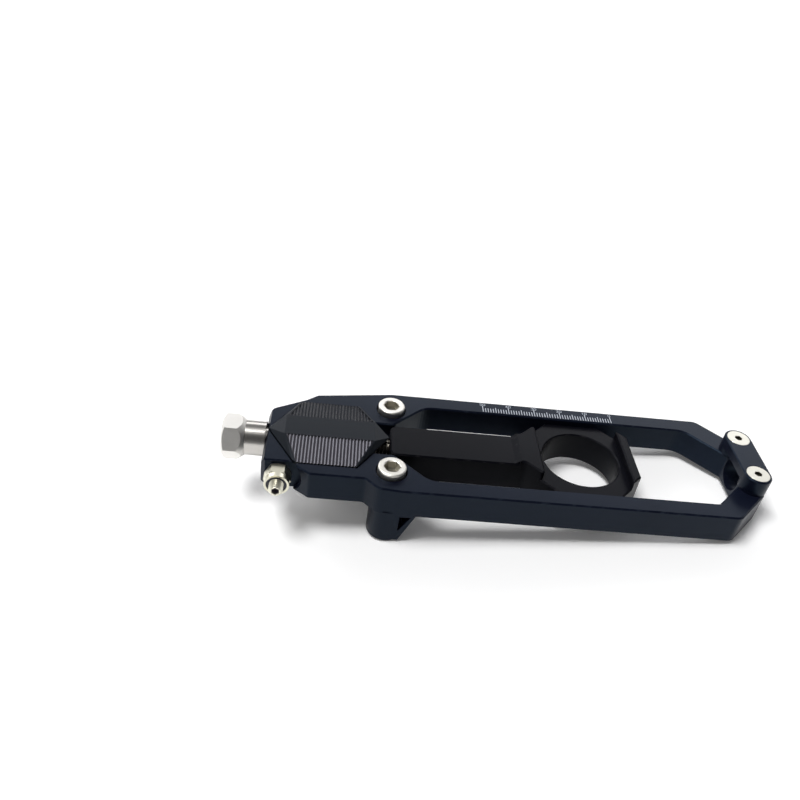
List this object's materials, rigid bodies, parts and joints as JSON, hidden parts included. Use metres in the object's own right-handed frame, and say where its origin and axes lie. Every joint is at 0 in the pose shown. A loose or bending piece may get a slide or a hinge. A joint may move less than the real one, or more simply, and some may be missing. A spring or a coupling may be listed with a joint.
{
  "type": "motorcycle chain adjuster",
  "caption": "Slotted chain adjuster: a screw in the ribbed head draws a keyed axle slider along a frame that carries a millimetre scale and a bridged end.",
  "frame": {"origin": "on the back face of the frame, midway between the two boss screws", "axes": "+X from the head towards the link end, +Y towards the arm with the scale, +Z out of the face"},
  "size_m": [0.1937, 0.0532, 0.03],
  "materials": {
    "anodised_black": "blue-black anodised, satin",
    "anodised_cover": "black anodised, machined ribs",
    "anodised_slider": "black anodised, satin",
    "steel_turned": "bright turned",
    "steel_screws": "bright plated",
    "steel_small": "bright plated",
    "nylon": "dark locking ring"
  },
  "bodies": {
    "frame": {"frame": "anodised_black", "shield_cover": "anodised_cover", "cover_screw_far": "steel_small", "cover_screw_near": "steel_small", "lock_set_screw": "steel_small", "lock_nut": "steel_small", "lock_nut_insert": "nylon", "boss_screw_far": "steel_screws", "boss_screw_near": "steel_screws", "end_bridge": "anodised_black", "bridge_screw_far": "steel_screws", "bridge_screw_near": "steel_screws"},
    "adjuster": {"adjuster_screw": "steel_turned"},
    "slider": {"slider": "anodised_slider"}
  },
  "joints": [
    {"name": "adjuster_turn", "type": "hinge", "parent": "frame", "child": "adjuster", "pos_m": [0, 0, 0.0066], "axis": [1, 0, 0], "range_deg": [-4521.6, 8899.2]},
    {"name": "slider_travel", "type": "slide", "parent": "frame", "child": "slider", "axis": [1, 0, 0], "range_m": [-0.0309, 0.0157]}
  ],
  "couplings": [
    {"joint": "adjuster_turn", "follows": "slider_travel", "rad_per_m": -5026.5}
  ]
}
